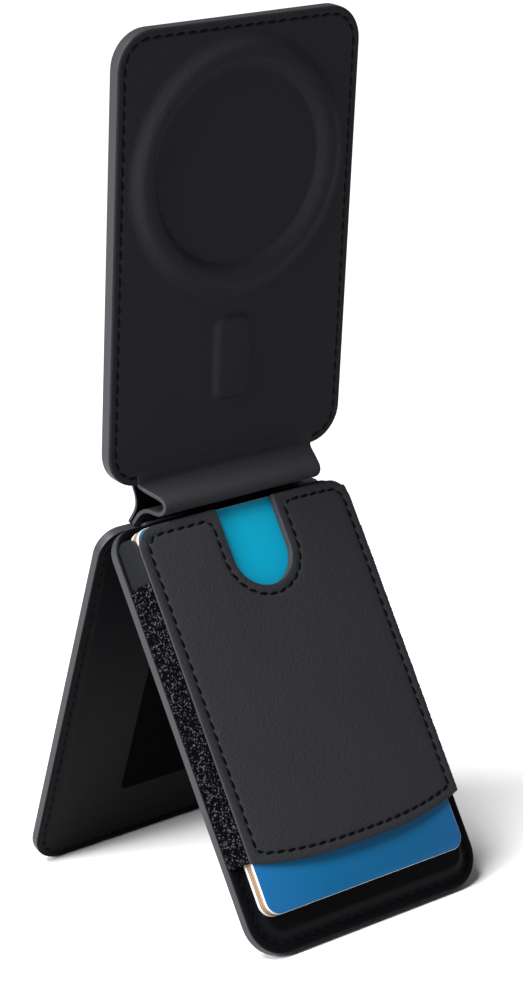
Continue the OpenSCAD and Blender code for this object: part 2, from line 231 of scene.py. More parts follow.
def face_outward():
    """Turns every face of the piece in edit mode outward."""
    bpy.ops.mesh.select_all(action="SELECT")
    bpy.ops.mesh.normals_make_consistent(inside=False)


def leave_edit_mode():
    """Goes back to object mode, if a piece is still open in edit mode."""
    if bpy.context.mode != "OBJECT":
        bpy.ops.object.mode_set(mode="OBJECT")


def blank(name, width, y_low, y_high, z):
    """A flat rectangle in edit mode, cut to size across X and along Y."""
    leave_edit_mode()
    bpy.ops.object.select_all(action="DESELECT")
    bpy.ops.mesh.primitive_plane_add(size=1, location=(0, (y_low + y_high) / 2 * MM, z * MM))
    piece = bpy.context.object
    piece.name = piece.data.name = name
    piece.scale = (width * MM, (y_high - y_low) * MM, 1)
    bpy.ops.object.transform_apply(location=True, rotation=False, scale=True)
    bpy.ops.object.mode_set(mode="EDIT")
    return piece


def round_corners(piece, radius, wanted, steps=10):
    """Rounds the chosen corners of a flat piece."""
    choose(piece, "verts", wanted)
    bpy.ops.mesh.bevel(offset=radius * MM, offset_pct=0, segments=steps, affect="VERTICES")


def press(*steps):
    """Insets the selected face again and again, by (width, rise) in millimetres."""
    for width, rise in steps:
        bpy.ops.mesh.inset(thickness=width * MM, depth=rise * MM, use_even_offset=True)


def rolled(radius, steps=4):
    """The steps of an edge that rounds over from a wall to a flat face."""
    turn = [math.pi / 2 * k / steps for k in range(steps + 1)]
    return [(radius * (math.cos(a) - math.cos(b)), radius * (math.sin(b) - math.sin(a)))
            for a, b in zip(turn, turn[1:])]


def groove(from_edge, width=0.8, depth=0.16):
    """A pressed stitching groove, whose middle is so far in from the present edge."""
    side = width * 0.28
    return [(from_edge - width / 2, 0), (side, -depth * 0.8), (width / 2 - side, -depth * 0.2),
            (width / 2 - side, depth * 0.2), (side, depth * 0.8)]


def apply_modifier(piece, kind, **settings):
    """Adds one modifier with its settings, and applies it."""
    leave_edit_mode()
    modifier = piece.modifiers.new(kind.lower(), kind)
    for setting, value in settings.items():
        setattr(modifier, setting, value)
    bpy.context.view_layer.objects.active = piece
    bpy.ops.object.modifier_apply(modifier=modifier.name)


def thicken(piece, thickness):
    """Gives an open skin its thickness, inward, and closes its rim."""
    apply_modifier(piece, "SOLIDIFY", thickness=thickness * MM, offset=-1)


def finish_piece(piece, place, body, materials, angle=40, edge=lambda f: False):
    """Shades the piece, paints its edge faces, lays it in its place and names its body."""
    leave_edit_mode()
    bpy.ops.object.select_all(action="DESELECT")
    piece.select_set(True)
    bpy.context.view_layer.objects.active = piece
    bpy.ops.object.shade_smooth_by_angle(angle=math.radians(angle))
    piece.data.materials.clear()
    for material in materials:
        piece.data.materials.append(material)
    for face in piece.data.polygons:
        face.material_index = int(edge(face))
    piece.data.transform(place)
    if body:
        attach(piece, body)


panel_width = 62.6
panel_low, panel_high = 6.7, 104.7
panel_back, panel_front = 0.15, 3.15
panel_r = 8
panel_seam_in = 1.75
panel_lean = 10.8
at_panel = (Matrix.Translation(joint_at["panel_tilt"])
            @ Matrix.Rotation(math.radians(90 + panel_lean), 4, "X"))
turned_over = Matrix.Rotation(math.pi, 4, "Y")
skin_thickness = 0.28
# a front skin's wall starts this far in front of the lay-up's back, and its edge rolls widely
wall_start, edge_roll = 0.45, 0.55
# a back skin has a low wall and a tight edge
back_wall, back_roll = 0.43, 0.3


def lay_up_skin(name, width, y_low, y_high, z_low, z_face, r_low, r_high, steps, roll=edge_roll):
    """The outer skin of a lay-up: a wall, a rolled edge and the pressed steps of its face."""
    piece = blank(name, width, y_low, y_high, z_low)
    middle = (y_low + y_high) / 2 * MM
    round_corners(piece, r_low, lambda v: v.co.y < middle)
    round_corners(piece, r_high, lambda v: v.co.y > middle)
    take_all_faces()
    press((0, z_face - roll - z_low), *rolled(roll), *steps)
    return piece


def side_wall(face):
    """Whether a face is part of the wall, which the edge paint covers."""
    return abs(face.normal.z) < 0.5


ring_y, ring_foot = panel_low + 66.8, 28.75
bar_y, bar_width, bar_height = panel_low + 24.8, 11.0, 20.8
bar_corner, bar_corner_steps = 3.6, 8
# the ring's cross-section from its foot inward, as its radius and its rise over the flat leather
ring_ridge = [(28.5, 0.01), (28.0, 0.09), (27.5, 0.27), (27.0, 0.56), (26.5, 0.9), (26.0, 1.21),
              (25.55, 1.42), (25.1, 1.54), (24.5, 1.61), (23.8, 1.62), (23.3, 1.58), (22.8, 1.46),
              (22.3, 1.23), (21.85, 0.9), (21.45, 0.54), (21.1, 0.2), (20.85, 0.03), (20.65, 0), (20.0, 0)]
bar_ridge = [(0.3, 0), (0.35, 0.07), (0.4, 0.22), (0.4, 0.3), (0.35, 0.2), (0.35, 0.08), (0.5, 0.03)]

front = lay_up_skin("panel_front_leather", panel_width, panel_low, panel_high, panel_back + wall_start,
                    panel_front, panel_r, panel_r, [*groove(panel_seam_in - edge_roll), (0.12, 0)])
ring_hub = Vector((0, ring_y, panel_front)) * MM
bar_hub = Vector((0, bar_y, panel_front)) * MM
# the flat face is opened, the feet of the ring and the bar are laid in it, and it is filled round them
bpy.ops.mesh.delete(type="ONLY_FACE")
bpy.ops.mesh.primitive_circle_add(vertices=128, radius=ring_foot * MM, fill_type="NOTHING",
                                  location=ring_hub)
bpy.ops.mesh.primitive_plane_add(size=1, location=bar_hub)
bpy.ops.transform.resize(value=(bar_width * MM, bar_height * MM, 1), center_override=bar_hub)
bpy.ops.mesh.select_mode(type="VERT")
bpy.ops.mesh.bevel(offset=bar_corner * MM, offset_pct=0, segments=bar_corner_steps, affect="VERTICES")
choose(front, "edges", lambda e: len(e.link_faces) < 2 and abs(e.verts[0].co.z - ring_hub.z) < 1e-5)
bpy.ops.mesh.fill(use_beauty=True)
choose(front, "edges", lambda e: all(abs((v.co - ring_hub).length - ring_foot * MM) < 1e-5
                                     for v in e.verts))
radius, rise = ring_foot, 0
for next_radius, next_rise in ring_ridge:
    bpy.ops.mesh.extrude_edges_move()
    ratio = next_radius / radius
    bpy.ops.transform.resize(value=(ratio, ratio, 1), center_override=ring_hub)
    bpy.ops.transform.translate(value=(0, 0, (next_rise - rise) * MM))
    radius, rise = next_radius, next_rise
bpy.ops.mesh.edge_face_add()
choose(front, "faces", lambda f: len(f.verts) == 4 * (bar_corner_steps + 1)
       and (f.calc_center_median() - bar_hub).length < MM)
press(*bar_ridge)
face_outward()
thicken(front, skin_thickness)
finish_piece(front, at_panel, "magnet_panel", [cover_leather, edge_paint], edge=side_wall)
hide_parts("panel_front_cover", "ring_ridge", "bar_ridge")


# --- Magnet panel, back cover -------------------------------------------------
# A plain sheet of the same leather on the panel's back, sewn through to the
# front with the same seam, with its edge painted over the board.
panel_back_skin = lay_up_skin("panel_back_leather", panel_width, panel_low, panel_high,
                              -panel_back - back_wall, -panel_back, panel_r, panel_r,
                              groove(panel_seam_in - back_roll), roll=back_roll)
thicken(panel_back_skin, skin_thickness)
finish_piece(panel_back_skin, at_panel @ turned_over, "magnet_panel",
             [cover_leather, edge_paint], edge=side_wall)
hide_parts("panel_back_cover")


# --- Magnet panel, seam -------------------------------------------------------
# Waxed black thread in a lock stitch. Each stitch lies a little askew in the
# pressed groove and dives into its needle hole at both ends.
thread = grained("waxed_thread", (0.0006, 0.0006, 0.001), 6000, 0.5, 0.02, Specular_IOR_Level=0.04)


def rounded_line(corners, closed, steps=8):
    """Points along straight runs with rounded corners, from (x, y, radius) corners."""
    line = []
    for i, (x, y, radius) in enumerate(corners):
        here = Vector((x, y))
        if radius == 0 or not closed and i in (0, len(corners) - 1):
            line.append(here)
            continue
        before = (Vector(corners[i - 1][:2]) - here).normalized()
        after = (Vector(corners[(i + 1) % len(corners)][:2]) - here).normalized()
        half = before.angle(after) / 2
        middle = here + (before + after).normalized() * radius / math.sin(half)
        first = here + before * radius / math.tan(half) - middle
        last = here + after * radius / math.tan(half) - middle
        line += [middle + first.slerp(last, k / steps) * radius for k in range(steps + 1)]
    return line


def even_points(line, pitch, closed):
    """Needle holes at an even pitch along a line, from one end to the other."""
    line = line + line[:1] if closed else line
    reach = [0]
    for a, b in zip(line, line[1:]):
        reach.append(reach[-1] + (b - a).length)
    count = round(reach[-1] / pitch)
    holes, run = [], 0
    for k in range(count + 1):
        at = reach[-1] * k / count
        while run < len(line) - 2 and reach[run + 1] < at:
            run += 1
        share = (at - reach[run]) / (reach[run + 1] - reach[run])
        holes.append(line[run].lerp(line[run + 1], share))
    return holes


# how high a stitch is, and how far its middle lies under the leather's face
stitch_rise = 0.4
thread_sink = 0.1


def sew(name, line, pitch, level, place, body, closed=False, bulge=lambda x: 0,
        gap=0.75, width=0.72, slant=12):
    """A row of stitches along a line, all one piece, at a level that may bulge across the leather."""
    leave_edit_mode()
    bpy.ops.object.select_all(action="DESELECT")
    bpy.ops.mesh.primitive_uv_sphere_add(segments=6, ring_count=5, radius=1)
    seam = bpy.context.object
    seam.name = seam.data.name = name
    stitch = seam.data.copy()
    seam.data.clear_geometry()
    holes = even_points(line, pitch, closed)
    for a, b in zip(holes, holes[1:]):
        middle, along = (a + b) / 2, b - a
        copied = bpy.data.objects.new(name + "_stitch", stitch.copy())
        bpy.context.scene.collection.objects.link(copied)
        copied.data.transform(
            Matrix.Translation((middle.x * MM, middle.y * MM, (level + bulge(middle.x)) * MM))
            @ Matrix.Rotation(math.atan2(along.y, along.x) + math.radians(slant), 4, "Z")
            @ Matrix.Diagonal(((along.length - gap) / 2 * MM, width / 2 * MM, stitch_rise / 2 * MM, 1))
            @ Matrix.Rotation(math.pi / 2, 4, "Y"))
        copied.select_set(True)
    seam.select_set(True)
    bpy.context.view_layer.objects.active = seam
    bpy.ops.object.join()
    finish_piece(seam, place, body, [thread], angle=180)
    return seam


seam_x, seam_r = panel_width / 2 - panel_seam_in, 5.6
seam_low, seam_high = panel_low + panel_seam_in, panel_high - panel_seam_in
unsewn_half = 23.6
panel_pitch = 2.9
panel_line = rounded_line([(unsewn_half, seam_low, 0), (seam_x, seam_low, seam_r),
                           (seam_x, seam_high, seam_r), (-seam_x, seam_high, seam_r),
                           (-seam_x, seam_low, seam_r), (-unsewn_half, seam_low, 0)], closed=False)
panel_thread = sew("panel_front_thread", panel_line, panel_pitch, panel_front - thread_sink,
                   at_panel, "magnet_panel")
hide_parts("panel_thread")
sew("panel_back_thread", panel_line, panel_pitch, -panel_back - thread_sink,
    at_panel @ turned_over, "magnet_panel")


# --- Rear leg -------------------------------------------------------------------
# The same lay-up, shorter: a leather face inside and out over a board, sewn
# round, with rounded corners that are tighter beside the apex.
leg_splay = 26.1
at_rear_leg = (Matrix.Translation(joint_at["leg_fold"])
               @ Matrix.Rotation(math.radians(90 + leg_splay), 4, "X"))
leg_low, leg_r, apex_r = -95.2, 8, 5.5
# each leg's plane runs through the apex hinge: its inward side lies just short of that plane,
# and the rear leg's outward side this far beyond it
leg_inner, rear_outer = -0.15, 2.55
rear_seam_in = 1.8
leg_pitch = 2.8
lining_leather = grained("lining_leather", (0.0013, 0.0014, 0.0022), 2400, 0.5, 0.04,
                         Specular_IOR_Level=0.05)
rear_inner_skin = lay_up_skin("rear_leg_inner_leather", panel_width, leg_low, 0, wall_start - rear_outer,
                              leg_inner, leg_r, apex_r, groove(rear_seam_in - edge_roll))
thicken(rear_inner_skin, skin_thickness)
finish_piece(rear_inner_skin, at_rear_leg, "rear_leg", [lining_leather, edge_paint],
             edge=side_wall)
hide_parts("rear_leg_inner_cover")

rear_outer_skin = lay_up_skin("rear_leg_outer_leather", panel_width, leg_low, 0, rear_outer - back_wall,
                              rear_outer, leg_r, apex_r, groove(rear_seam_in - back_roll), roll=back_roll)
thicken(rear_outer_skin, skin_thickness)
finish_piece(rear_outer_skin, at_rear_leg @ turned_over, "rear_leg",
             [cover_leather, edge_paint], edge=side_wall)
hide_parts("rear_leg_outer_cover")


def leg_line(inset):
    """The seam round a leg, open at the top where the straps leave it."""
    start_x, x, low, high = 22.0, panel_width / 2 - inset, leg_low + inset, -inset
    return rounded_line([(start_x, high, 0), (x, high, apex_r - inset), (x, low, leg_r - inset),
                         (-x, low, leg_r - inset), (-x, high, apex_r - inset), (-start_x, high, 0)],
                        closed=False)


rear_thread = sew("rear_leg_inner_thread", leg_line(rear_seam_in), leg_pitch, leg_inner - thread_sink,
                  at_rear_leg, "rear_leg")
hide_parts("rear_leg_thread")
sew("rear_leg_outer_thread", leg_line(rear_seam_in), leg_pitch, rear_outer - thread_sink,
    at_rear_leg @ turned_over, "rear_leg")


# --- Rear leg, inlay --------------------------------------------------------------
# A matt black microfibre patch over the steel plate, heat-pressed round its rim.
microfibre = grained("microfibre", (0.0006, 0.0006, 0.0007), 5200, 0.85, 0.05, drift=0.5,
                     Specular_IOR_Level=0.02)
inlay_width, inlay_low, inlay_high, inlay_r = 19.3, -79.4, -16.6, 1.5
inlay_back, inlay_face, inlay_thickness = -0.3, -0.06, 0.12
inlay = lay_up_skin("rear_leg_inlay_patch", inlay_width, inlay_low, inlay_high, inlay_back, inlay_face,
                    inlay_r, inlay_r, [(0.7, 0), (0.2, -0.03), (0.2, 0.03)], roll=0.1)
thicken(inlay, inlay_thickness)
finish_piece(inlay, at_rear_leg, "rear_leg", [microfibre])
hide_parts("rear_leg_inlay")


# --- Front leg --------------------------------------------------------------------
# Leather over a thin foam pad and a board: the sewn margin is pressed flat and the
# middle stands a millimetre proud of it, so the cards slide on a soft bed.
at_front_leg = (Matrix.Translation(joint_at["leg_fold"])
                @ Matrix.Rotation(math.radians(90 - leg_splay), 4, "X"))
margin_z = 2.75
front_seam_in = 2.1
pad_shoulder = [(0.3, 0), (0.4, 0.1), (0.45, 0.26), (0.45, 0.3), (0.45, 0.25), (0.4, 0.08)]
front_leg_skin = lay_up_skin("front_leg_leather", panel_width, leg_low, 0, wall_start - leg_inner,
                             margin_z, leg_r, apex_r, [*groove(front_seam_in - edge_roll), *pad_shoulder])
thicken(front_leg_skin, skin_thickness)
finish_piece(front_leg_skin, at_front_leg, "front_leg", [lining_leather, edge_paint],
             edge=side_wall)
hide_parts("front_leg_cover")

front_leg_back_skin = lay_up_skin("front_leg_back_leather", panel_width, leg_low, 0,
                                  leg_inner - back_wall, leg_inner, leg_r, apex_r,
                                  groove(front_seam_in - back_roll), roll=back_roll)
thicken(front_leg_back_skin, skin_thickness)
finish_piece(front_leg_back_skin, at_front_leg @ turned_over, "front_leg",
             [cover_leather, edge_paint], edge=side_wall)
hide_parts("front_leg_back_cover")

front_thread = sew("front_leg_thread_row", leg_line(front_seam_in), leg_pitch, margin_z - thread_sink,
                   at_front_leg, "front_leg")
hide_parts("front_leg_thread")
sew("front_leg_back_thread", leg_line(front_seam_in), leg_pitch, leg_inner - thread_sink,
    at_front_leg @ turned_over, "front_leg")


# --- Straps -------------------------------------------------------------------------
# Strips of single leather with painted edges. The spine strap leaves the panel's face,
# bulges forward, where a painted highlight makes its colour paler, and doubles back over the apex to the
# rear leg.
# The rear strap, in lining leather, hangs behind it, and the apex strap joins the legs' tops.
strap_leather = grained("strap_leather", cover_colour, 1900, 0.48, 0.06, Specular_IOR_Level=0.04)
tree = strap_leather.node_tree
# painted highlight: from 97.5 mm down to 93.5 mm up the stand the strap's colour turns paler, standing in
# for light on its upward-facing bulge
where = add_node(tree, "ShaderNodeTexCoord", (-1300, 0))
height = add_node(tree, "ShaderNodeSeparateXYZ", (-1100, 0))
highlight_fade = add_node(tree, "ShaderNodeMapRange", (-900, 0),
                inputs={"From Min": 97.5 * MM, "From Max": 93.5 * MM})
painted_highlight_mix = add_node(tree, "ShaderNodeMix", (-700, 0), data_type="RGBA")
painted_highlight_mix.inputs["A"].default_value = (*cover_colour, 1)
painted_highlight_mix.inputs["B"].default_value = (0.0175, 0.0178, 0.02, 1)
tree.links.new(where.outputs["Object"], height.inputs[0])
tree.links.new(height.outputs["Z"], highlight_fade.inputs["Value"])
tree.links.new(highlight_fade.outputs["Result"], painted_highlight_mix.inputs["Factor"])
tree.links.new(painted_highlight_mix.outputs["Result"], tree.nodes["Group"].inputs["Colour"])


def along(place, y, z):
    """Where a point of a panel or leg is in the stand's own Y-Z plane, in millimetres."""
    return (place @ Vector((0, y * MM, z * MM)) / MM).yz


def strap(name, path, thickness):
    """A strip of leather along a path of Y-Z points, each with half of the width there."""
    points, halves = zip(*path)
    piece = blank(name, 2 * halves[0], -1, 0, 0)
    choose(piece, "verts", lambda v: v.co.y < -0.5 * MM)
    bpy.ops.mesh.delete(type="VERT")
    bpy.ops.mesh.select_all(action="SELECT")
    bpy.ops.mesh.subdivide(number_cuts=7)
    bpy.ops.transform.translate(value=(0, points[0][0] * MM, points[0][1] * MM))
    for a, b, old, new in zip(points, points[1:], halves, halves[1:]):
        bpy.ops.mesh.extrude_edges_move()
        bpy.ops.transform.translate(value=(0, (b[0] - a[0]) * MM, (b[1] - a[1]) * MM))
        bpy.ops.transform.resize(value=(new / old, 1, 1), center_override=(0, 0, 0))
    apply_modifier(piece, "SUBSURF", levels=2, render_levels=2)
    apply_modifier(piece, "SOLIDIFY", thickness=thickness * MM, offset=0)
    apply_modifier(piece, "BEVEL", width=0.18 * MM, segments=3, angle_limit=math.radians(60))
    return piece


def strap_side(face):
    """Whether a face is on a strap's cut edge, which the edge paint covers."""
    return abs(face.normal.x) > 0.6


spine = strap("spine_strap_leather", [
    (along(at_panel, 10.6, 2.6), 23.7), (along(at_panel, 9.7, 2.73), 23.7),
    (along(at_panel, 8.3, 2.76), 23.7), (along(at_panel, 6.9, 2.74), 23.6),
    ((-3.1, 95.2), 23.2), ((-4.7, 94.3), 22.6), ((-6.5, 93.45), 21.9), ((-7.8, 92.75), 21.4),
    ((-8.55, 92.05), 21.2), ((-8.75, 91.2), 21.2), ((-8.35, 90.35), 21.2), ((-7.45, 89.65), 21.2),
    ((-6.1, 89.25), 21.2), ((-4.6, 89.3), 21.2), ((-3.1, 89.6), 21.3), ((-1.7, 89.6), 21.6),
    ((-0.6, 89.1), 22.0), ((0.25, 88.1), 22.5), ((0.75, 87.0), 23.0),
    (along(at_rear_leg, 0.05, -1.25), 23.4)], thickness=0.9)
finish_piece(spine, Matrix(), None, [strap_leather, edge_paint], edge=strap_side)
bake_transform(spine)
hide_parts("spine_strap")

rear_strap = strap("rear_strap_leather", [
    (along(at_panel, 6.62, 0.5), 23.7), (along(at_panel, 4.8, 0.45), 22.8),
    (along(at_panel, 2.8, 0.45), 22.2), (along(at_panel, 0.8, 0.5), 22.0),
    (along(at_rear_leg, 2.6, -2.2), 22.6), (along(at_rear_leg, 1.2, -2.2), 23.2),
    (along(at_rear_leg, 0.05, -2.2), 23.7)], thickness=0.7)
finish_piece(rear_strap, Matrix(), None, [lining_leather, edge_paint], edge=strap_side)
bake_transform(rear_strap)
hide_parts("rear_strap")

apex = strap("apex_strap_leather", [
    (along(at_front_leg, 0.38, 2.2), 21.5), (along(at_front_leg, 0.38, 1.4), 21.5),
    (along(at_front_leg, 0.4, 0.75), 21.5), (along(at_rear_leg, 0.4, -0.75), 21.5)], thickness=0.6)
finish_piece(apex, Matrix(), None, [strap_leather, edge_paint], edge=strap_side)
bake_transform(apex)
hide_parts("apex_strap")


# --- Stretch gussets ----------------------------------------------------------------
# Black knitted elastic, sewn to the leg's edge and under the pocket's edge, leaning inward.
# Pale specks painted into its colour stand in for glints of light off its yarn. It lets the pocket swell
# for more cards.
elastic, tree, shader = new_material("glinting_elastic", Roughness=0.7, Specular_IOR_Level=0.01)
where = add_node(tree, "ShaderNodeTexCoord", (-1100, 0))
loops = add_node(tree, "ShaderNodeTexVoronoi", (-850, 0), inputs={"Scale": 3400.0})
# painted glints: the palest of the knit's cells take a light colour in place of light caught by the yarn
painted_glint_ramp = add_node(tree, "ShaderNodeValToRGB", (-400, 0))
painted_glint_ramp.color_ramp.elements[0].position = 0.78
painted_glint_ramp.color_ramp.elements[0].color = (0.0005, 0.0005, 0.0007, 1)
painted_glint_ramp.color_ramp.elements[1].color = (0.036, 0.036, 0.038, 1)
one_yarn = add_node(tree, "ShaderNodeSeparateColor", (-600, 0))
tree.links.new(where.outputs["Object"], loops.inputs["Vector"])
tree.links.new(loops.outputs["Color"], one_yarn.inputs["Color"])
tree.links.new(one_yarn.outputs["Red"], painted_glint_ramp.inputs["Fac"])
tree.links.new(painted_glint_ramp.outputs["Color"], shader.inputs["Base Color"])
knit = bpy.data.textures.new("knit", "VORONOI")
knit.noise_scale = 0.42 * MM
gusset_low, gusset_high, gusset_thickness, gusset_bow = -75.0, -12.9, 0.5, 0.45
# the wall's foot on the leg's margin, and its head under the pocket's edge
foot_x, foot_z, head_x, head_z = 31.1, 2.72, 29.1, 7.5
hem_x, hem_level, hem_pitch = 31.12, 2.62, 2.05
wall_length = math.hypot(foot_x - head_x, head_z - foot_z)
wall_lean = math.atan2(foot_x - head_x, head_z - foot_z)


def at_wall(side):
    """Local axes of a side wall: X up it from the leg's edge, Z outward."""
    lay = Matrix(((-math.sin(wall_lean), 0, math.cos(wall_lean)), (0, 1, 0),
                  (math.cos(wall_lean), 0, math.sin(wall_lean)))).to_4x4()
    return (at_front_leg @ Matrix.Diagonal((side, 1, 1, 1))
            @ Matrix.Translation((foot_x * MM, 0, foot_z * MM)) @ lay)


def blend_wall(piece):
    """Bakes a side wall's placement into its mesh; the wall is tied to neither the leg nor the pocket."""
    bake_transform(piece)


for side_name, side in (("left", -1), ("right", 1)):
    bpy.ops.object.select_all(action="DESELECT")
    bpy.ops.mesh.primitive_grid_add(x_subdivisions=26, y_subdivisions=330, size=1)
    gusset = bpy.context.object
    gusset.name = gusset.data.name = f"gusset_{side_name}_elastic"
    bpy.ops.object.mode_set(mode="EDIT")
    bpy.ops.transform.resize(value=(wall_length * MM, (gusset_high - gusset_low) * MM, 1))
    bpy.ops.transform.translate(value=(wall_length / 2 * MM, (gusset_low + gusset_high) / 2 * MM, 0))
    leave_edit_mode()
    for vertex in gusset.data.vertices:
        up_wall = min(1, max(0, vertex.co.x / (wall_length * MM)))
        vertex.co.z -= gusset_bow * MM * math.sin(math.pi * up_wall)
    apply_modifier(gusset, "DISPLACE", texture=knit, strength=0.2 * MM, mid_level=0.45,
                   texture_coords="LOCAL", direction="Z")
    thicken(gusset, gusset_thickness)
    finish_piece(gusset, at_wall(side), None, [elastic], angle=180)
    if side < 0:
        gusset.data.flip_normals()
    blend_wall(gusset)
    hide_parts(f"gusset_{side_name}")
    hem = [Vector((side * hem_x, gusset_low + 0.5)), Vector((side * hem_x, gusset_high - 0.5))]
    sew(f"gusset_{side_name}_hem_thread", hem, hem_pitch, hem_level, at_front_leg, "front_leg",
        gap=0.7, width=0.3, slant=0)


# --- Side tabs ------------------------------------------------------------------------
# A short wall of smooth leather closes each side of the pocket's mouth above the gusset.
tab_leather = grained("tab_leather", (0.0048, 0.005, 0.0062), 3200, 0.45, 0.02,
                      Specular_IOR_Level=0.04)
tab_low, tab_high, tab_corner, tab_thickness = -12.95, -2.7, 2.0, 0.3
# the tab starts a little above the wall's foot, and is set in from the wall's outer side
tab_foot, tab_set_in = 0.3, 0.6
for side_name, side in (("left", -1), ("right", 1)):
    tab = blank(f"side_tab_{side_name}_leather", wall_length - tab_foot, tab_low, tab_high, 0)
    bpy.ops.mesh.select_all(action="SELECT")
    bpy.ops.transform.translate(value=((wall_length + tab_foot) / 2 * MM, 0, 0))
    round_corners(tab, tab_corner, lambda v: v.co.y > (tab_low + tab_high) / 2 * MM)
    take_all_faces()
    press((0, 0.2), *rolled(0.12, 3), (0.6, 0.05))
    thicken(tab, tab_thickness)
    finish_piece(tab, at_wall(side) @ Matrix.Translation((0, 0, -tab_set_in * MM)), None,
                 [tab_leather, edge_paint], edge=side_wall)
    if side < 0:
        tab.data.flip_normals()
    blend_wall(tab)
    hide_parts(f"side_tab_{side_name}")


# --- Pocket face ------------------------------------------------------------------------
# Thicker leather with a slight arch across it, a bowed lower edge that leaves the cards'
# ends free, and a thumb slot cut from its upper edge. A seam runs round all of it.
pocket_leather = grained("pocket_leather", (0.015, 0.0153, 0.0178), 1900, 0.48, 0.09,
                         Specular_IOR_Level=0.04)
pocket_half, pocket_top, pocket_low, pocket_sag = 28.75, -1.4, -75.2, 3.3
slot_half, slot_depth = 7.7, 19.0
pocket_foot, pocket_rim, pocket_rise = 7.5, 8.0, 1.25
rim_roll, pocket_corner = 0.3, 5.0
pocket_seam_in, pocket_pitch = 2.15, 2.6
# the lower edge's bow grows from here down, over this length
bow_start, bow_run = -50, 16


def arch(x):
    """How far the pocket face stands above its side edges, at x in metres."""
    return pocket_rise * (1 - (x / (pocket_half * MM)) ** 2)


def bow(x):
    """The lower edge at x, in millimetres."""
    return pocket_low - pocket_sag * (1 - (abs(x) / pocket_half) ** 2.6)


def cut_across(at, axis):
    """Cuts the faces of the piece in edit mode wherever X (axis 0) or Y (axis 1) has this value."""
    place, direction = [0, 0, 0], [0, 0, 0]
    place[axis], direction[axis] = at * MM, 1
    bpy.ops.mesh.select_all(action="SELECT")
    bpy.ops.mesh.bisect(plane_co=place, plane_no=direction)


pocket = blank("pocket_face_leather", 2 * pocket_half, pocket_low, pocket_top, pocket_rim - rim_roll)
slot_floor = pocket_top - slot_depth
for slot_side in (-slot_half, slot_half):
    cut_across(slot_side, 0)
cut_across(slot_floor, 1)
choose(pocket, "faces", lambda f: abs(f.calc_center_median().x) < slot_half * MM
       and f.calc_center_median().y > slot_floor * MM)
bpy.ops.mesh.delete(type="FACE")
bpy.ops.mesh.select_all(action="SELECT")
bpy.ops.mesh.dissolve_limited(angle_limit=0.01)
round_corners(pocket, slot_half - 0.02, lambda v: abs(v.co.y - slot_floor * MM) < 1e-6, steps=16)
round_corners(pocket, pocket_corner,
              lambda v: v.co.y > (pocket_top - 0.01) * MM and abs(v.co.x) > 2 * slot_half * MM)
take_all_faces()
press(*rolled(rim_roll, 3), *groove(pocket_seam_in - rim_roll, depth=0.15), (0.3, 0.05), (0.8, 0.05))
# cuts that let the face follow its arch across and its bow down
for cut in range(-27, 28, 2):
    cut_across(cut, 0)
for cut in (bow_start - bow_run, bow_start - bow_run / 2, bow_start):
    cut_across(cut, 1)
choose(pocket, "edges", lambda e: len(e.link_faces) == 1)
bpy.ops.mesh.extrude_edges_move()
bpy.ops.transform.resize(value=(1, 1, 0), center_override=(0, 0, pocket_foot * MM))
bpy.ops.mesh.edge_face_add()
leave_edit_mode()
for vertex in pocket.data.vertices:
    if vertex.co.z > (pocket_foot + 0.05) * MM:
        vertex.co.z += arch(vertex.co.x) * MM
    lowness = min(1, max(0, (bow_start * MM - vertex.co.y) / (bow_run * MM)))
    vertex.co.y += (bow(vertex.co.x / MM) - pocket_low) * MM * lowness
bpy.ops.object.mode_set(mode="EDIT")
face_outward()
finish_piece(pocket, at_front_leg, "pocket", [pocket_leather, edge_paint],
             edge=side_wall)
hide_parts("pocket_face")

inner = pocket_half - pocket_seam_in
slot_in = slot_half + pocket_seam_in
seam_top = pocket_top - pocket_seam_in
slot_low = slot_floor - pocket_seam_in
bowed = [(x, bow(x) + pocket_seam_in, 0) for x in [inner - inner * k / 12 for k in range(25)]]
pocket_line = rounded_line([(slot_in, seam_top, 0.8), (inner, seam_top, 3.0), *bowed,
                            (-inner, seam_top, 3.0), (-slot_in, seam_top, 0.8),
                            (-slot_in, slot_low, slot_in - 0.02),
                            (slot_in, slot_low, slot_in - 0.02)], closed=True, steps=16)
pocket_thread = sew("pocket_face_thread", pocket_line, pocket_pitch, pocket_rim - 0.08, at_front_leg,
                    "pocket", closed=True, bulge=lambda x: arch(x * MM), gap=0.42)
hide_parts("pocket_thread")


# --- Cards --------------------------------------------------------------------------------
# Four standard plastic cards: the front one printed blue over a white core, its blue darker towards
# its lower end and duller towards its sides, two with tan cores, and a white one at the back.
card_width, card_length, card_thickness, card_pitch = 53.98, 85.6, 0.76, 0.86
card_corner, card_edge = 3.18, 0.07
card_x, card_top, card_front_z = -1.2, -1.4, 7.31


def card_plastic(name, colour):
    """Smooth plastic, with next to no grain."""
    return grained(name, colour, 900, 0.3, 0.002, drift=0.08, Specular_IOR_Level=0.5)


white_core = card_plastic("white_core", (0.4, 0.395, 0.385))
tan_core = card_plastic("tan_core", (0.17, 0.11, 0.066))
blue_print, tree, shader = new_material("blue_print", Roughness=0.3, Specular_IOR_Level=0.22)
where = add_node(tree, "ShaderNodeTexCoord", (-1300, 0))
local = add_node(tree, "ShaderNodeMapping", (-1100, 0))
to_leg = at_front_leg.inverted()
local.inputs["Rotation"].default_value = to_leg.to_euler()
local.inputs["Location"].default_value = to_leg.translation
tree.links.new(where.outputs["Object"], local.inputs["Vector"])
axes = add_node(tree, "ShaderNodeSeparateXYZ", (-900, 0))
tree.links.new(local.outputs["Vector"], axes.inputs[0])
down = add_node(tree, "ShaderNodeMapRange", (-700, 100),
                inputs={"From Min": -87 * MM, "From Max": -2 * MM})
tree.links.new(axes.outputs["Y"], down.inputs["Value"])
downward_fade = add_node(tree, "ShaderNodeValToRGB", (-500, 100))
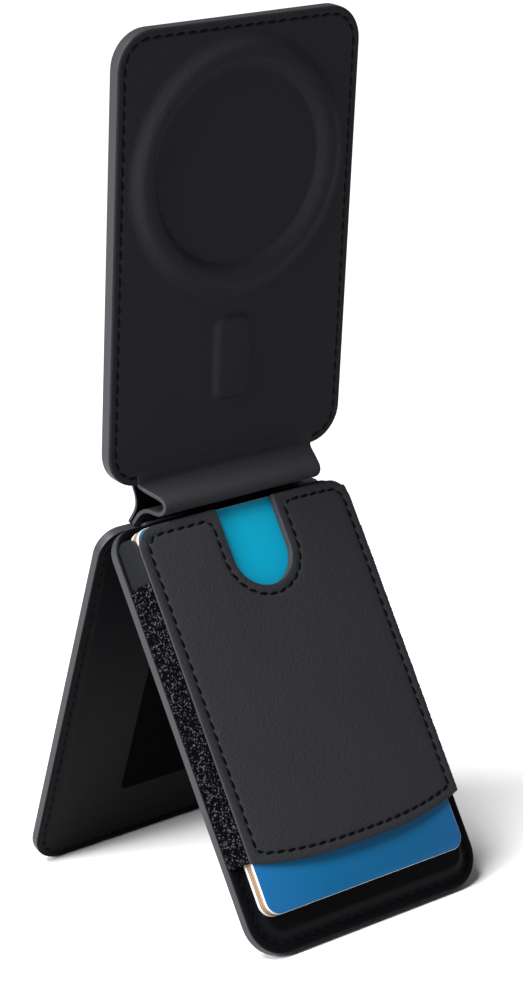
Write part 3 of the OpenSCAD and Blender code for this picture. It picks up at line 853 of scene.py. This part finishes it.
downward_fade.color_ramp.elements[0].color = (0.0, 0.058, 0.14, 1)
downward_fade.color_ramp.elements[1].color = (0.0, 0.215, 0.33, 1)
tree.links.new(down.outputs["Result"], downward_fade.inputs["Fac"])
swirl = add_node(tree, "ShaderNodeTexNoise", (-700, -200),
                 inputs={"Scale": 32.0, "Detail": 1.0, "Distortion": 0.6})
tree.links.new(local.outputs["Vector"], swirl.inputs["Vector"])
haze = add_node(tree, "ShaderNodeValToRGB", (-500, -200))
haze.color_ramp.elements[0].position = 0.42
haze.color_ramp.elements[0].color = (0, 0, 0, 1)
haze.color_ramp.elements[1].position = 0.75
haze.color_ramp.elements[1].color = (0.4, 0.4, 0.4, 1)
tree.links.new(swirl.outputs["Fac"], haze.inputs["Fac"])
tinted = add_node(tree, "ShaderNodeMix", (-200, 0), data_type="RGBA")
tinted.inputs["B"].default_value = (0.008, 0.07, 0.2, 1)
across = add_node(tree, "ShaderNodeMath", (-700, -420), operation="ABSOLUTE")
tree.links.new(axes.outputs["X"], across.inputs[0])
outward = add_node(tree, "ShaderNodeMapRange", (-500, -420),
                   inputs={"From Min": 6 * MM, "From Max": 30 * MM, "To Max": 0.7})
tree.links.new(across.outputs[0], outward.inputs["Value"])
paler = add_node(tree, "ShaderNodeMath", (-330, -300), operation="MAXIMUM")
tree.links.new(haze.outputs["Color"], paler.inputs[0])
tree.links.new(outward.outputs["Result"], paler.inputs[1])
tree.links.new(paler.outputs[0], tinted.inputs["Factor"])
tree.links.new(downward_fade.outputs["Color"], tinted.inputs["A"])
tree.links.new(tinted.outputs["Result"], shader.inputs["Base Color"])

for number, (card_name, slot, face_print, core) in enumerate((
        ("card_front", "card_blue", blue_print, white_core),
        ("card_second", "card_tan", tan_core, tan_core),
        ("card_third", "card_tan", tan_core, tan_core),
        ("card_back", "card_white", white_core, white_core))):
    top = card_front_z - number * card_pitch
    card = blank(f"{card_name}_plastic", card_width, card_top - card_length, card_top,
                 top - card_thickness)
    round_corners(card, card_corner, lambda v: True, steps=12)
    take_all_faces()
    bpy.ops.mesh.extrude_region_move(TRANSFORM_OT_translate={"value": (0, 0, card_thickness * MM)})
    face_outward()
    choose(card, "edges", lambda e: len({round(v.co.z, 6) for v in e.verts}) == 1)
    bpy.ops.mesh.bevel(offset=card_edge * MM, offset_pct=0, segments=2, affect="EDGES")
    finish_piece(card, at_front_leg @ Matrix.Translation((card_x * MM, 0, 0)), card_name,
                 [face_print, core], edge=lambda f: abs(f.normal.z) < 0.95)
    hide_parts(card_name)


# --- Hidden parts ---------------------------------------------------------------------------
# Boards, magnets, steel, foam and the pocket's lining keep their solid shapes, and each
# takes the finish of what it is made of.
board = grained("pressed_board", (0.16, 0.12, 0.09), 1500, 0.85, 0.05, drift=0.6)
nickel = grained("nickel_plate", (0.62, 0.6, 0.57), 3000, 0.22, 0.004, Metallic=1.0)
steel = grained("plain_steel", (0.45, 0.45, 0.46), 3000, 0.35, 0.006, Metallic=1.0)
foam = grained("foam", (0.12, 0.12, 0.12), 1200, 0.9, 0.15, drift=0.4)
for material, names in ((board, ("panel_board", "rear_leg_board", "front_leg_board")),
                        (nickel, ("magnet_ring", "alignment_magnet", "front_leg_magnet")),
                        (steel, ("ring_yoke", "rear_leg_magnet")),
                        (foam, ("front_leg_pad",)), (microfibre, ("pocket_lining",))):
    for name in names:
        frame["nodes"][name].data.materials.clear()
        frame["nodes"][name].data.materials.append(material)
